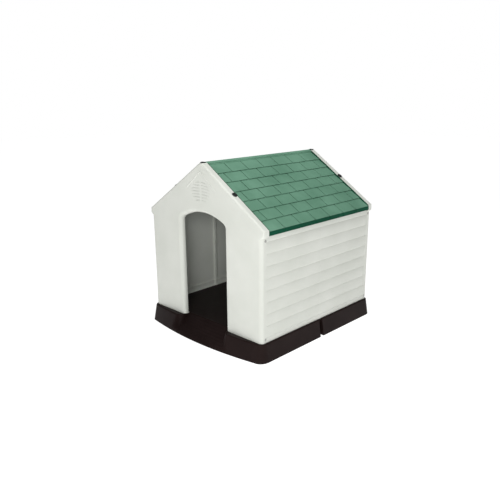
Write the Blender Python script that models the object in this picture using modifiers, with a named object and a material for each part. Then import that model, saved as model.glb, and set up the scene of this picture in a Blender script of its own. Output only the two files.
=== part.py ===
"""Flat-pack plastic pet kennel: base tray, gable panels, lap-board sides, shingle roof and turn locks.

Metres, +Z up, the doorway faces -Y. The origin is on the ground under the middle of the kennel's box.
Every piece hangs on one empty that stands on the ground under the middle of the four walls.
"""
import math

import bmesh
import bpy
from mathutils import Vector

# ---- driving dimensions -------------------------------------------------------------------------
WALL_HALF_WIDTH = 0.431        # outer faces of the side returns
WALL_HALF_DEPTH = 0.467        # outer faces of the two gable panels
DECK_Z = 0.0976                # top of the base, which the walls stand on
GAP = 0.0003                   # clearance between touching pieces
SHEET = 0.0032                 # moulded sheet thickness

BASE_BOTTOM_HALF_WIDTH = 0.4570
BASE_BOTTOM_HALF_DEPTH = 0.4885
BASE_TOP_HALF_WIDTH = 0.4413
BASE_TOP_HALF_DEPTH = 0.4755
BASE_BOW = 0.0478              # how far the front bottom edge bulges past the corners
BASE_TOP_BOW = 0.030           # the same for its top edge
BASE_WALL = 0.004
BASE_CORNER_BOTTOM = 0.048
BASE_CORNER_TOP = 0.034
BASE_LIP = 0.006               # rounded top edge of the skirt
CORNER_STEPS = 5
BOW_STEPS = 16

PORCH_HALF_WIDTH = 0.174       # scooped step in front of the doorway
PORCH_NOSE = 0.040             # radius of the upright noses that end its shoulders
PORCH_BACK_Y = -0.427
PORCH_LIP_Z = 0.017
PORCH_LIP_Y = -0.5309
PORCH_PLAN_BACK = 0.45         # how far its air reaches behind and in front of the noses
PORCH_PLAN_FRONT = 0.15
PORCH_RIBS = 7
PORCH_RIB_DEPTH = 0.0022

JOINT_GROOVE_HALF = 0.014      # upright groove in the skirt where the two base halves meet
JOINT_GROOVE_DEPTH = 0.014
JOINT_GROOVE_TOP = 0.088
JOINT_GROOVE_LEDGE = 0.0090     # its depth through the skirt's top lip

RIDGE_Z = 0.9720               # top of the ridge cap
ROOF_RISE = 0.665              # rise over run of both slopes
EAVE_HALF_WIDTH = 0.4435
EAVE_BOTTOM_Z = 0.6528
RAKE_EDGE_Y = 0.4286           # inner edge of the gable flanges that cover the roof's ends
RETURN_EDGE_Y = 0.4333         # inner edge of the gable's side returns, where the boards begin
FLANGE_LIFT = 0.003            # gable flange above the roof's rim
LANDING_HALF_WIDTH = 0.012     # flat at the gable's apex
EAR_BOTTOM_Z = 0.650
EAR_STEP = 0.010
CORNER_RADIUS = 0.026
RAKE_RADIUS = 0.012

DOOR_HALF_WIDTH = 0.171
DOOR_TOP_Z = 0.7095
DOOR_ARCH_RADIUS = 0.330
DOOR_SHOULDER_RADIUS = 0.030
DOOR_FLARE = 0.020
DOOR_REVEAL = 0.028

VENT_CENTRE_Z = 0.822
VENT_ROWS = 7
VENT_PITCH = 0.0155
VENT_SLOT = 0.006
VENT_HALF_WIDTH = 0.072
VENT_HALF_HEIGHT = 0.058
VENT_BAR_HALF = 0.008

BOARD_PITCH = 0.0623
BOARD_FIRST_LAP = 0.125
BOARD_OUT = 0.4305
BOARD_STEP = 0.0032
BOARD_INNER = 0.4238
WALL_TOP_Z = 0.670
SEAM_FLANGE = 0.014
SEAM_FLANGE_SET = 0.0034       # each flange stands this far back from the seam
SEAM_FLANGE_SHEET = 0.0026
WALL_RAIL_Z = 0.131
TONGUE = 0.0145                # side wall strip behind the gable return
ROOF_TONGUE_END = 0.453

COURSES = 7
COURSE = 0.0730
TILE = 0.122
TILE_SHIFT = -0.008
TILE_TOP = -0.0010             # lower edge of a shingle, measured out of the rim plane
TILE_BOTTOM = -0.0060
TILE_JOINT = 0.005
JOINT_DEPTH = 0.0022
SEAM_SHIFT = 0.0040            # seam steps run just below the shingle edges
ROOF_UNDER = -0.0095
RIM_INNER_Y = 0.4235
RIM_OUTER_Y = 0.4275
RIM_TOP = 0.0006
TONGUE_SHEET = 0.003
CAP_WIDTH = 0.0165
CAP_THICKNESS = 0.0028

LOCK_Y = 0.440
RIDGE_LOCK_Y = 0.4445
LOCK_SLOPE = 0.266             # mid-slope locks, distance down from the ridge
LOCK_HEAD_RADIUS = 0.0145
LOCK_HEAD_HEIGHT = 0.0038
LOCK_STEM_RADIUS = 0.0042
LOCK_BAR_HALF = 0.0095
LOCK_BAR_HALF_WIDTH = 0.003
LOCK_BAR_HEIGHT = 0.004
LOCK_GRIP_HALF = 0.0105
LOCK_GRIP_HALF_WIDTH = 0.0022
LOCK_GRIP_HEIGHT = 0.0014
SLOT_HALF_LENGTH = 0.0105
SLOT_HALF_WIDTH = 0.0050

SCREW_ROWS_Z = (0.117, 0.628)
SCREW_Y = 0.4410
SCREW_HEAD_RADIUS = 0.0072
SCREW_HEAD_HEIGHT = 0.0024
SCREW_SHANK_RADIUS = 0.0020
SCREW_LENGTH = 0.013

CLIP_HEIGHT = 0.020
CLIP_Z = 0.372
CLIP_LEG = 0.012
CLIP_SHEET = 0.0022
BASE_CLIP_X = 0.200
BASE_FLANGE_DEPTH = 0.030
BASE_FLANGE_HALF_WIDTH = 0.405

SLOPE = math.atan(ROOF_RISE)
SIN, COS = math.sin(SLOPE), math.cos(SLOPE)
EAVE_SLOPE = (EAVE_HALF_WIDTH - TILE_TOP * SIN) / COS
LANDING_Z = RIDGE_Z + FLANGE_LIFT / COS - ROOF_RISE * LANDING_HALF_WIDTH
TONGUE_TOP = FLANGE_LIFT - SHEET - GAP
WALL_CENTRE_Y = BASE_BOW / 2


# ---- scene, materials and collections -----------------------------------------------------------
def clear_scene():
    for obj in list(bpy.data.objects):
        bpy.data.objects.remove(obj, do_unlink=True)


def make_collection(name):
    collection = bpy.data.collections.new(name)
    bpy.context.scene.collection.children.link(collection)
    return collection


def make_material(name, colour, roughness, metallic=0.0):
    material = bpy.data.materials.new(name)
    material.use_nodes = True
    shader = material.node_tree.nodes["Principled BSDF"]
    shader.inputs["Base Color"].default_value = (*colour, 1.0)
    shader.inputs["Roughness"].default_value = roughness
    shader.inputs["Metallic"].default_value = metallic
    material.diffuse_color = (*colour, 1.0)
    return material


clear_scene()
PARTS = make_collection("pet_kennel")
CUTTERS = make_collection("cutters")
WALL_PLASTIC = make_material("wall_plastic", (0.72, 0.73, 0.68), 0.55)
ROOF_PLASTIC = make_material("roof_plastic", (0.145, 0.30, 0.20), 0.55)
BASE_PLASTIC = make_material("base_plastic", (0.030, 0.022, 0.021), 0.50)
LOCK_PLASTIC = make_material("lock_plastic", (0.010, 0.010, 0.011), 0.40)
SCREW_STEEL = make_material("screw_steel", (0.36, 0.36, 0.36), 0.38, 0.9)

FRAME = bpy.data.objects.new("wall_centre", None)
FRAME.location = (0.0, WALL_CENTRE_Y, 0.0)
PARTS.objects.link(FRAME)


# ---- building blocks ----------------------------------------------------------------------------
def add_mesh_object(name, bm, material=None):
    """Turn a bmesh into an object: a part if it has a material, a cutter if it has none."""
    bmesh.ops.recalc_face_normals(bm, faces=bm.faces)
    mesh = bpy.data.meshes.new(name)
    bm.to_mesh(mesh)
    bm.free()
    obj = bpy.data.objects.new(name, mesh)
    obj.parent = FRAME
    if material:
        mesh.materials.append(material)
        PARTS.objects.link(obj)
    else:
        obj.hide_render = True
        obj.display_type = "WIRE"
        CUTTERS.objects.link(obj)
    return obj


def prism_mesh(outline, axis, low, high, bm=None):
    """Extrude a 2D outline along axis. The outline is (x, z) for Y, (x, y) for Z and (y, z) for X."""
    place = {
        "X": lambda a, b, t: (t, a, b),
        "Y": lambda a, b, t: (a, t, b),
        "Z": lambda a, b, t: (a, b, t),
    }[axis]
    bm = bm or bmesh.new()
    lower, upper = ([bm.verts.new(place(a, b, t)) for a, b in outline] for t in (low, high))
    count = len(outline)
    for i in range(count):
        bm.faces.new((lower[i], lower[(i + 1) % count], upper[(i + 1) % count], upper[i]))
    bm.faces.new(lower)
    bm.faces.new(list(reversed(upper)))
    return bm


def prism(name, outline, axis, low, high, material=None):
    return add_mesh_object(name, prism_mesh(outline, axis, low, high), material)


def box_mesh(corner_a, corner_b, bm=None):
    low = [min(a, b) for a, b in zip(corner_a, corner_b)]
    high = [max(a, b) for a, b in zip(corner_a, corner_b)]
    outline = [(low[0], low[1]), (high[0], low[1]), (high[0], high[1]), (low[0], high[1])]
    return prism_mesh(outline, "Z", low[2], high[2], bm)


def box(name, corner_a, corner_b, material=None):
    return add_mesh_object(name, box_mesh(corner_a, corner_b), material)


def combine(obj, other, operation):
    modifier = obj.modifiers.new(operation.lower() + "_" + other.name, "BOOLEAN")
    modifier.operation = operation
    modifier.solver = "EXACT"
    modifier.object = other


def cut(obj, *cutters):
    for cutter in cutters:
        combine(obj, cutter, "DIFFERENCE")


def join(obj, *others):
    for other in others:
        combine(obj, other, "UNION")


def loft(rings):
    """Closed solid through rings of equal point count, capped at both ends."""
    bm = bmesh.new()
    loops = [[bm.verts.new(point) for point in ring] for ring in rings]
    count = len(loops[0])
    for lower, upper in zip(loops, loops[1:]):
        for i in range(count):
            bm.faces.new((lower[i], lower[(i + 1) % count], upper[(i + 1) % count], upper[i]))
    bm.faces.new(loops[0])
    bm.faces.new(list(reversed(loops[-1])))
    return bm


def arc(centre, radius, start, end, steps):
    """Points on a circle from start to end degrees, both ends included."""
    angles = [math.radians(start + (end - start) * i / steps) for i in range(steps + 1)]
    return [(centre[0] + radius * math.cos(a), centre[1] + radius * math.sin(a)) for a in angles]


# ---- base ---------------------------------------------------------------------------------------
def front_corner(centre, radius, drop, start, end):
    """Front corner of the base: an arc stretched by drop, so that it meets the bowed edge."""
    points = arc(centre, radius, start, end, CORNER_STEPS)
    return [(x, y + drop * (y - centre[1]) / radius) for x, y in points]


def base_ring(z, half_width, half_depth, bow, corner):
    """Plan outline of the base at height z, front edge bowed by a parabola."""
    inner = half_width - corner
    drop = bow * (1 - (inner / half_width) ** 2)
    points = []
    for i in range(BOW_STEPS + 1):
        x = -inner + 2 * inner * i / BOW_STEPS
        points.append((x, -half_depth - bow * (1 - (x / half_width) ** 2)))
    points += front_corner((inner, corner - half_depth), corner, drop, -90, 0)[1:]
    points += arc((inner, half_depth - corner), corner, 0, 90, CORNER_STEPS)
    points += arc((-inner, half_depth - corner), corner, 90, 180, CORNER_STEPS)
    points += front_corner((-inner, corner - half_depth), corner, drop, 180, 270)[:-1]
    return [(x, y, z) for x, y in points]


def base_body(name, inset, bottom_z, top_z):
    """The flared tray as a solid, drawn in by inset all round."""
    def blend(low, high, z):
        return low + (high - low) * max(0.0, min(1.0, z / DECK_Z))

    def ring(z, extra=0.0):
        inward = inset + extra
        return base_ring(z, blend(BASE_BOTTOM_HALF_WIDTH, BASE_TOP_HALF_WIDTH, z) - inward,
                         blend(BASE_BOTTOM_HALF_DEPTH, BASE_TOP_HALF_DEPTH, z) - inward,
                         blend(BASE_BOW, BASE_TOP_BOW, z),
                         blend(BASE_CORNER_BOTTOM, BASE_CORNER_TOP, z) - inward)

    rings = [ring(bottom_z), ring(top_z - BASE_LIP), ring(top_z - BASE_LIP * 0.3, BASE_LIP * 0.27),
             ring(top_z, BASE_LIP * 0.8)]
    return add_mesh_object(name, loft(rings), BASE_PLASTIC if inset == 0 else None)


def porch_profile(lower_by):
    """Side view of the scooped step as (y, z), a ribbed ramp with air above it."""
    run_y = PORCH_LIP_Y - PORCH_BACK_Y
    run_z = PORCH_LIP_Z - DECK_Z
    length = math.hypot(run_y, run_z)
    normal = (run_z / length, -run_y / length)
    points = [(PORCH_BACK_Y + lower_by, DECK_Z + 0.05), (PORCH_BACK_Y + lower_by, DECK_Z)]
    if lower_by == 0:
        for i in range(PORCH_RIBS):
            for part, depth in ((0.25, 0.0), (0.35, PORCH_RIB_DEPTH), (0.90, PORCH_RIB_DEPTH)):
                t = (i + part) / PORCH_RIBS
                points.append((PORCH_BACK_Y + run_y * t + normal[0] * depth,
                               DECK_Z + run_z * t - normal[1] * depth))
    points.append((PORCH_LIP_Y, PORCH_LIP_Z - lower_by))
    points += [(PORCH_LIP_Y - 0.08, PORCH_LIP_Z - lower_by), (PORCH_LIP_Y - 0.08, DECK_Z + 0.05)]
    return points


def porch_plan(z, grow):
    """Plan outline of the air over the step at height z, with noses that lean like the front skirt."""
    centre_x = PORCH_HALF_WIDTH + PORCH_NOSE
    low_y = BASE_BOTTOM_HALF_DEPTH + BASE_BOW * (1 - (centre_x / BASE_BOTTOM_HALF_WIDTH) ** 2)
    top_y = BASE_TOP_HALF_DEPTH + BASE_TOP_BOW * (1 - (centre_x / BASE_TOP_HALF_WIDTH) ** 2)
    centre_y = PORCH_NOSE - low_y - (top_y - low_y) * z / DECK_Z
    turns = [math.radians(turn) for turn in range(0, 91, 15)]
    right = [(PORCH_HALF_WIDTH + grow, centre_y + PORCH_PLAN_BACK)]
    right += [(centre_x - (PORCH_NOSE - grow) * math.cos(turn),
               centre_y - (PORCH_NOSE - grow) * math.sin(turn)) for turn in turns]
    right.append((centre_x, centre_y - PORCH_PLAN_FRONT))
    return [(x, y, z) for x, y in right + [(-x, y) for x, y in reversed(right)]]


def porch_air(name, lower_by):
    """Air over the step: the ramp's side view, between shoulders with rounded upright noses."""
    air = prism(name, porch_profile(lower_by), "X", -0.30, 0.30)
    plan = loft([porch_plan(-0.02, lower_by), porch_plan(DECK_Z + 0.08, lower_by)])
    combine(air, add_mesh_object(name + "_plan", plan), "INTERSECT")
    return air


def groove_air(name, grow):
    """Upright grooves in both side skirts, over the joint of the base halves."""
    bm = bmesh.new()
    for side in (-1, 1):
        inner = side * (BASE_TOP_HALF_WIDTH - JOINT_GROOVE_DEPTH - grow)
        half = JOINT_GROOVE_HALF + grow
        ledge = side * (BASE_TOP_HALF_WIDTH - JOINT_GROOVE_LEDGE)
        top = JOINT_GROOVE_TOP + grow
        outline = [(inner, -0.02), (inner, top), (ledge, top), (ledge, DECK_Z + 0.02),
                   (side * 0.48, DECK_Z + 0.02), (side * 0.48, -0.02)]
        prism_mesh(outline, "Y", -half, half, bm)
    return add_mesh_object(name, bm)


def build_base():
    """Both halves of the tray, cut from one flared body, with their joint flanges under the deck."""
    hollow = base_body("base_hollow", BASE_WALL, -0.01, DECK_Z - BASE_WALL)
    cut(hollow, porch_air("step_allowance", BASE_WALL), groove_air("groove_allowance", BASE_WALL))
    step = porch_air("step_air", 0.0)
    grooves = groove_air("groove_air_cutter", 0.0)
    for name, side in (("base_front", -1), ("base_rear", 1)):
        half = base_body(name, 0.0, 0.0, DECK_Z)
        cut(half, hollow)
        flange = box(name + "_flange", (-BASE_FLANGE_HALF_WIDTH, 0.0, DECK_Z - BASE_FLANGE_DEPTH),
                     (BASE_FLANGE_HALF_WIDTH, side * BASE_WALL, DECK_Z - 0.002))
        join(half, flange)
        cut(half, step, grooves)
        cut(half, box(name + "_trim", (-0.6, -side * 0.7, -0.05), (0.6, side * GAP / 2, 0.2)))


# ---- gable panels -------------------------------------------------------------------------------
def slope_point(side, down, lift):
    """(x, z) of a point down the slope from the ridge line and lifted out of the rim plane."""
    return side * (down * COS + lift * SIN), RIDGE_Z - down * SIN + lift * COS


def gable_outline(inset):
    """Front view of a gable panel, drawn in by inset all round."""
    apex = RIDGE_Z + (FLANGE_LIFT - inset) / COS
    landing_z = LANDING_Z - inset
    landing = (apex - landing_z) / ROOF_RISE
    wall = WALL_HALF_WIDTH - inset
    ear = EAVE_HALF_WIDTH - inset
    right = [(wall, DECK_Z + GAP + inset), (wall, EAR_BOTTOM_Z - EAR_STEP + inset * 0.4),
             (ear, EAR_BOTTOM_Z + inset * 0.4), (ear, apex - ROOF_RISE * ear), (landing, landing_z)]
    return right + [(-x, z) for x, z in reversed(right)]


def gable_pan(name, inset, front, back, radius, rake_radius, material=None):
    """Block in the gable's outline, its corner and rake edges rounded on the outer face."""
    side = math.copysign(1, front)
    pan = prism(name, gable_outline(inset), "Y", min(front, back), max(front, back), material)
    weights = pan.data.attributes.new("bevel_weight_edge", "FLOAT", "EDGE")
    for edge in pan.data.edges:
        a, b = (pan.data.vertices[i].co for i in edge.vertices)
        if side * a.y < side * front - 1e-5 or side * b.y < side * front - 1e-5:
            continue
        upright = abs(a.x - b.x) < 1e-5 and max(a.z, b.z) < EAR_BOTTOM_Z
        bottom = max(a.z, b.z) < DECK_Z + 0.02
        weights.data[edge.index].value = 0.0 if bottom else 1.0 if upright else rake_radius / radius
    bevel = pan.modifiers.new("rounded_edges", "BEVEL")
    bevel.limit_method = "WEIGHT"
    bevel.offset_type = "OFFSET"
    bevel.width = radius
    bevel.segments = 4
    bevel.use_clamp_overlap = False
    return pan


def door_outline(grow):
    """Arched doorway as (x, z), grown outwards by grow; it runs down past the deck."""
    arch = DOOR_ARCH_RADIUS + grow
    centre_z = DOOR_TOP_Z - DOOR_ARCH_RADIUS
    shoulder = DOOR_SHOULDER_RADIUS + grow
    shoulder_x = DOOR_HALF_WIDTH - DOOR_SHOULDER_RADIUS
    reach = DOOR_ARCH_RADIUS - DOOR_SHOULDER_RADIUS
    turn = math.degrees(math.acos(shoulder_x / reach))
    shoulder_z = centre_z + math.sqrt(reach ** 2 - shoulder_x ** 2)
    right = [(shoulder_x + shoulder, 0.05)]
    right += arc((shoulder_x, shoulder_z), shoulder, 0, turn, 4)
    right += arc((0.0, centre_z), arch, turn, 90, 7)[1:]
    return right + [(-x, z) for x, z in reversed(right[:-1])]


def door_solid(name, grow, back_y):
    """Doorway air, flared by a quarter round at the outer face, grown by the sheet for its lining."""
    front = -WALL_HALF_DEPTH
    rings = []
    steps = 4
    if grow == 0:
        rings.append([(x, front - 0.02, z) for x, z in door_outline(DOOR_FLARE)])
    for i in range(steps + 1):
        turn = math.radians(90 * i / steps)
        out = DOOR_FLARE * (1 - math.sin(turn)) + grow
        depth = (DOOR_FLARE - grow) * (1 - math.cos(turn)) + grow
        rings.append([(x, front + depth, z) for x, z in door_outline(out)])
    rings.append([(x, back_y, z) for x, z in door_outline(grow)])
    return add_mesh_object(name, loft(rings))


def vent_slots(name, front):
    """Rows of slots in an oval, split by an upright bar."""
    bm = bmesh.new()
    for row in range(VENT_ROWS):
        offset = (row - (VENT_ROWS - 1) / 2) * VENT_PITCH
        reach = VENT_HALF_WIDTH * math.sqrt(1 - (offset / VENT_HALF_HEIGHT) ** 2)
        z = VENT_CENTRE_Z + offset
        for side in (-1, 1):
            box_mesh((side * VENT_BAR_HALF, front - 0.02, z - VENT_SLOT / 2),
                     (side * reach, front + 0.02, z + VENT_SLOT / 2), bm)
    return add_mesh_object(name, bm)


def lock_slot(name, side_x, end):
    """Slot that a lock's cross bar passes through, in flange and roof tongue together."""
    y = end * (LOCK_Y if side_x else RIDGE_LOCK_Y)
    if side_x == 0:
        return box(name, (-SLOT_HALF_WIDTH, y - SLOT_HALF_LENGTH, RIDGE_Z - 0.02),
                   (SLOT_HALF_WIDTH, y + SLOT_HALF_LENGTH, RIDGE_Z + 0.02))
    ends = [slope_point(side_x, LOCK_SLOPE + along * SLOT_HALF_LENGTH, lift)
            for along, lift in ((-1, -0.02), (1, -0.02), (1, 0.02), (-1, 0.02))]
    return prism(name, ends, "Y", y - SLOT_HALF_WIDTH, y + SLOT_HALF_WIDTH)


def screw_holes(name, end):
    """Holes through the gable returns and the wall tongues, with room round the shank."""
    bm = bmesh.new()
    for side in (-1, 1):
        for z in SCREW_ROWS_Z:
            outline = arc((end * SCREW_Y, z), SCREW_SHANK_RADIUS + 0.0006, 0, 330, 11)
            prism_mesh(outline, "X", side * 0.41 - 0.03, side * 0.41 + 0.03, bm)
    return add_mesh_object(name, bm)


def build_gable(name, end, slots, holes):
    """Hollow gable panel with its returns and flanges; the front one also gets the doorway."""
    face = end * WALL_HALF_DEPTH
    panel = gable_pan(name, 0.0, face, end * RAKE_EDGE_Y, CORNER_RADIUS, RAKE_RADIUS, WALL_PLASTIC)
    hollow = gable_pan(name + "_hollow", SHEET, face - end * SHEET, end * (RAKE_EDGE_Y - 0.05),
                       CORNER_RADIUS - SHEET, RAKE_RADIUS - SHEET)
    return_trim = box(name + "_return_trim", (-0.5, 0.0, 0.0),
                      (0.5, end * RETURN_EDGE_Y, EAR_BOTTOM_Z - EAR_STEP + 0.0035))
    cut(panel, hollow, return_trim)
    if end < 0:
        lining = door_solid("door_lining", SHEET, -WALL_HALF_DEPTH + DOOR_REVEAL)
        cut(lining, box("door_lining_trim", (-0.3, -0.6, 0.0), (0.3, 0.0, DECK_Z + GAP)))
        join(panel, lining)
        cut(panel, door_solid("doorway", 0.0, -WALL_HALF_DEPTH + DOOR_REVEAL + 0.03))
    cut(panel, vent_slots(name + "_vent", face), holes, *slots)
    return panel


# ---- side panels --------------------------------------------------------------------------------
def board_outline(side):
    """Section of a side wall as (x, z): lapped boards outside, a flat inside with a rail and a foot."""
    outer = [(BOARD_OUT, DECK_Z + GAP)]
    lap = BOARD_FIRST_LAP
    previous = DECK_Z + GAP
    while lap < WALL_TOP_Z:
        share = (lap - previous) / BOARD_PITCH
        outer.append((BOARD_OUT - BOARD_STEP * share, lap))
        outer.append((BOARD_OUT, lap + 0.0015))
        previous = lap
        lap += BOARD_PITCH
    outer.append((BOARD_OUT - BOARD_STEP * (WALL_TOP_Z - previous) / BOARD_PITCH, WALL_TOP_Z))
    inner = [(BOARD_INNER, WALL_TOP_Z), (BOARD_INNER, WALL_RAIL_Z + 0.004),
             (BOARD_INNER - 0.005, WALL_RAIL_Z + 0.003), (BOARD_INNER - 0.005, WALL_RAIL_Z - 0.001),
             (BOARD_INNER, WALL_RAIL_Z - 0.001), (BOARD_INNER, DECK_Z + GAP + 0.003),
             (BOARD_INNER - 0.010, DECK_Z + GAP + 0.003), (BOARD_INNER - 0.010, DECK_Z + GAP)]
    return [(side * x, z) for x, z in outer + inner]


def build_side(name, side, end, holes):
    """One half of a side wall, from the gable return to the seam at mid length."""
    seam = end * GAP / 2
    edge = end * (RETURN_EDGE_Y - GAP)
    panel = prism(name, board_outline(side), "Y", min(seam, edge), max(seam, edge), WALL_PLASTIC)
    flange = box(name + "_seam_flange",
                 (side * (BOARD_INNER - SEAM_FLANGE), seam + end * SEAM_FLANGE_SET, DECK_Z + GAP),
                 (side * (BOARD_INNER + 0.002), seam + end * (SEAM_FLANGE_SET + SEAM_FLANGE_SHEET),
                  WALL_TOP_Z - 0.008))
    tongue_out = WALL_HALF_WIDTH - SHEET - 0.0010
    tongue = box(name + "_tongue", (side * BOARD_INNER, edge - end * 0.006, DECK_Z + GAP + SHEET + GAP),
                 (side * tongue_out, edge + end * TONGUE, EAR_BOTTOM_Z - EAR_STEP - 0.004))
    join(panel, flange, tongue)
    cut(panel, holes)
    return panel


# ---- roof panels --------------------------------------------------------------------------------
def course_joint(course, column):
    """Y of a shingle joint. Courses count up from the eave, and every other one is half a tile on."""
    return TILE_SHIFT + TILE * (column + (0.5 if course % 2 == 0 else 0.0))


def field_outline(side):
    """Section of the shingle field as (down, lift), from the eave up to the ridge border."""
    points = []
    for course in range(COURSES):
        lower = EAVE_SLOPE - course * COURSE
        points.append((lower, TILE_TOP))
        points.append((lower - COURSE + 0.0012, TILE_BOTTOM))
    return [slope_point(side, down, lift) for down, lift in points]


def roof_outline(side):
    """Section of a roof half. The left half carries the cap that laps over the ridge."""
    top_border = EAVE_SLOPE - COURSES * COURSE
    field = field_outline(side)
    under_ridge_z = RIDGE_Z + ROOF_UNDER / COS
    eave_under = slope_point(side, EAVE_SLOPE - 0.003 / COS, ROOF_UNDER)
    fascia = [(side * (EAVE_HALF_WIDTH - SHEET), eave_under[1]),
              (side * (EAVE_HALF_WIDTH - SHEET), EAVE_BOTTOM_Z),
              (side * EAVE_HALF_WIDTH, EAVE_BOTTOM_Z)]
    if side > 0:
        seat = -CAP_THICKNESS - GAP
        ridge = [slope_point(side, top_border, seat), (GAP, RIDGE_Z + seat / COS), (GAP, under_ridge_z)]
    else:
        ridge = [slope_point(side, top_border, 0.0), (0.0, RIDGE_Z), slope_point(1, CAP_WIDTH, 0.0),
                 slope_point(1, CAP_WIDTH, -CAP_THICKNESS), (0.0, RIDGE_Z - CAP_THICKNESS / COS),
                 (-GAP, RIDGE_Z - CAP_THICKNESS / COS - GAP), (-GAP, under_ridge_z)]
    return field + ridge + fascia


def tongue_outline(side):
    """Section of the strip that runs on under the gable flange, flat under the apex."""
    top_z = LANDING_Z - SHEET - GAP
    under_lift = TONGUE_TOP - TONGUE_SHEET
    flat_out = (RIDGE_Z + TONGUE_TOP / COS - top_z) / ROOF_RISE
    under_out = (RIDGE_Z + under_lift / COS - top_z + TONGUE_SHEET) / ROOF_RISE
    start = LOCK_STEM_RADIUS + 0.0012
    low = EAVE_SLOPE - 0.008
    return [(side * start, top_z), (side * flat_out, top_z), slope_point(side, low, TONGUE_TOP),
            slope_point(side, low, under_lift), (side * under_out, top_z - TONGUE_SHEET),
            (side * start, top_z - TONGUE_SHEET)]


def rim_outline(side):
    """Section of the raised rim along the gable edge; the right one starts below the ridge cap."""
    low = EAVE_SLOPE - 0.0045
    under = ROOF_UNDER + 0.0005
    foot = [slope_point(side, low, RIM_TOP), slope_point(side, low, under)]
    if side > 0:
        high = CAP_WIDTH + 2 * GAP
        return [slope_point(side, high, RIM_TOP)] + foot + [slope_point(side, high + 0.004, under)]
    return [(-GAP, RIDGE_Z + RIM_TOP / COS)] + foot + [(-GAP, RIDGE_Z + under / COS)]


def tile_joint_cutter(name, side, end):
    """Grooves between the shingles of one roof half, apart from those that form its seam."""
    bm = bmesh.new()
    for course in range(COURSES):
        lower = EAVE_SLOPE - course * COURSE + 0.004
        upper = EAVE_SLOPE - (course + 1) * COURSE + 0.003
        section = [slope_point(side, lower, TILE_TOP - JOINT_DEPTH),
                   slope_point(side, upper, TILE_BOTTOM - JOINT_DEPTH * 0.8),
                   slope_point(side, upper, 0.006), slope_point(side, lower, 0.006)]
        for column in range(-4, 5):
            y = course_joint(course, column)
            if end * y < 0.004 or column == 0 or abs(y) > RIM_INNER_Y - 0.02:
                continue
            prism_mesh(section, "Y", y - TILE_JOINT / 2, y + TILE_JOINT / 2, bm)
    return add_mesh_object(name, bm)


def seam_cutter(name, side, end):
    """Everything past the zigzag seam, which follows the shingle joints from eave to ridge."""
    far = -end * 0.6
    edge = []
    for course in range(COURSES):
        y = course_joint(course, 0) + end * GAP / 2
        lower = EAVE_SLOPE - course * COURSE + SEAM_SHIFT if course else EAVE_SLOPE + 0.10
        upper = EAVE_SLOPE - (course + 1) * COURSE + SEAM_SHIFT if course < COURSES - 1 else -0.10
        edge += [(lower, y), (upper, y)]
    outline = edge + [(-0.10, far), (EAVE_SLOPE + 0.10, far)]
    rings = []
    for lift in (-0.12, 0.06):
        ring = []
        for down, y in outline:
            x, z = slope_point(side, down, lift)
            ring.append((x, y, z))
        rings.append(ring)
    return add_mesh_object(name, loft(rings))


def build_roof(name, side, end, slots):
    """One quarter of the roof, from the gable flange to the seam."""
    edge = end * RIM_OUTER_Y
    panel = prism(name, roof_outline(side), "Y", min(-end * 0.1, edge), max(-end * 0.1, edge), ROOF_PLASTIC)
    cut(panel, seam_cutter(name + "_seam", side, end))
    rim_y = (end * RIM_INNER_Y, end * (RIM_OUTER_Y + 0.0008))
    rim = prism(name + "_rim", rim_outline(side), "Y", min(rim_y), max(rim_y))
    tongue_y = (end * (RIM_OUTER_Y + GAP), end * ROOF_TONGUE_END)
    tongue = prism(name + "_tongue", tongue_outline(side), "Y", min(tongue_y), max(tongue_y))
    join(panel, rim, tongue)
    cut(panel, *slots, tile_joint_cutter(name + "_joints", side, end))
    return panel


# ---- locks, screws and clips --------------------------------------------------------------------
def turned(name, profile, material, steps=20):
    """Solid of revolution about its own Z axis from a profile that runs down its outer side."""
    mesh = bpy.data.meshes.new(name)
    count = len(profile)
    edges = [(i, i + 1) for i in range(count - 1)]
    mesh.from_pydata([(radius, 0.0, z) for radius, z in profile], edges, [])
    mesh.materials.append(material)
    obj = bpy.data.objects.new(name, mesh)
    PARTS.objects.link(obj)
    obj.parent = FRAME
    spin = obj.modifiers.new("turn", "SCREW")
    spin.steps = steps
    spin.render_steps = steps
    spin.use_merge_vertices = True
    spin.merge_threshold = 0.00001
    return obj


def build_lock(name, side, end):
    """Quarter-turn lock: a round head with a grip, a stem and a cross bar under the roof tongue."""
    bar_top = -(SHEET + TONGUE_SHEET + 3 * GAP)
    profile = [(0.0, LOCK_HEAD_HEIGHT), (LOCK_HEAD_RADIUS - 0.0012, LOCK_HEAD_HEIGHT),
               (LOCK_HEAD_RADIUS, LOCK_HEAD_HEIGHT - 0.0012), (LOCK_HEAD_RADIUS, 0.0),
               (LOCK_STEM_RADIUS, 0.0), (LOCK_STEM_RADIUS, bar_top - 0.001), (0.0, bar_top - 0.001)]
    lock = turned(name, profile, LOCK_PLASTIC)
    grip = box(name + "_grip", (-LOCK_GRIP_HALF, -LOCK_GRIP_HALF_WIDTH, LOCK_HEAD_HEIGHT - 0.001),
               (LOCK_GRIP_HALF, LOCK_GRIP_HALF_WIDTH, LOCK_HEAD_HEIGHT + LOCK_GRIP_HEIGHT))
    bar = box(name + "_bar", (-LOCK_BAR_HALF, -LOCK_BAR_HALF_WIDTH, bar_top - LOCK_BAR_HEIGHT),
              (LOCK_BAR_HALF, LOCK_BAR_HALF_WIDTH, bar_top))
    if side == 0:
        x, y, z, turn = 0.0, end * RIDGE_LOCK_Y, LANDING_Z, 0.0
    else:
        x, z = slope_point(side, LOCK_SLOPE, FLANGE_LIFT)
        y, turn = end * LOCK_Y, math.radians(90)
    tilt = side * SLOPE
    lock.location = Vector((x, y, z)) + Vector((math.sin(tilt), 0.0, math.cos(tilt))) * GAP
    lock.rotation_euler = (0.0, tilt, 0.0)
    for piece in (grip, bar):
        piece.parent = lock
        piece.rotation_euler = (0.0, 0.0, turn)
    join(lock, grip, bar)
    return lock


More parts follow.
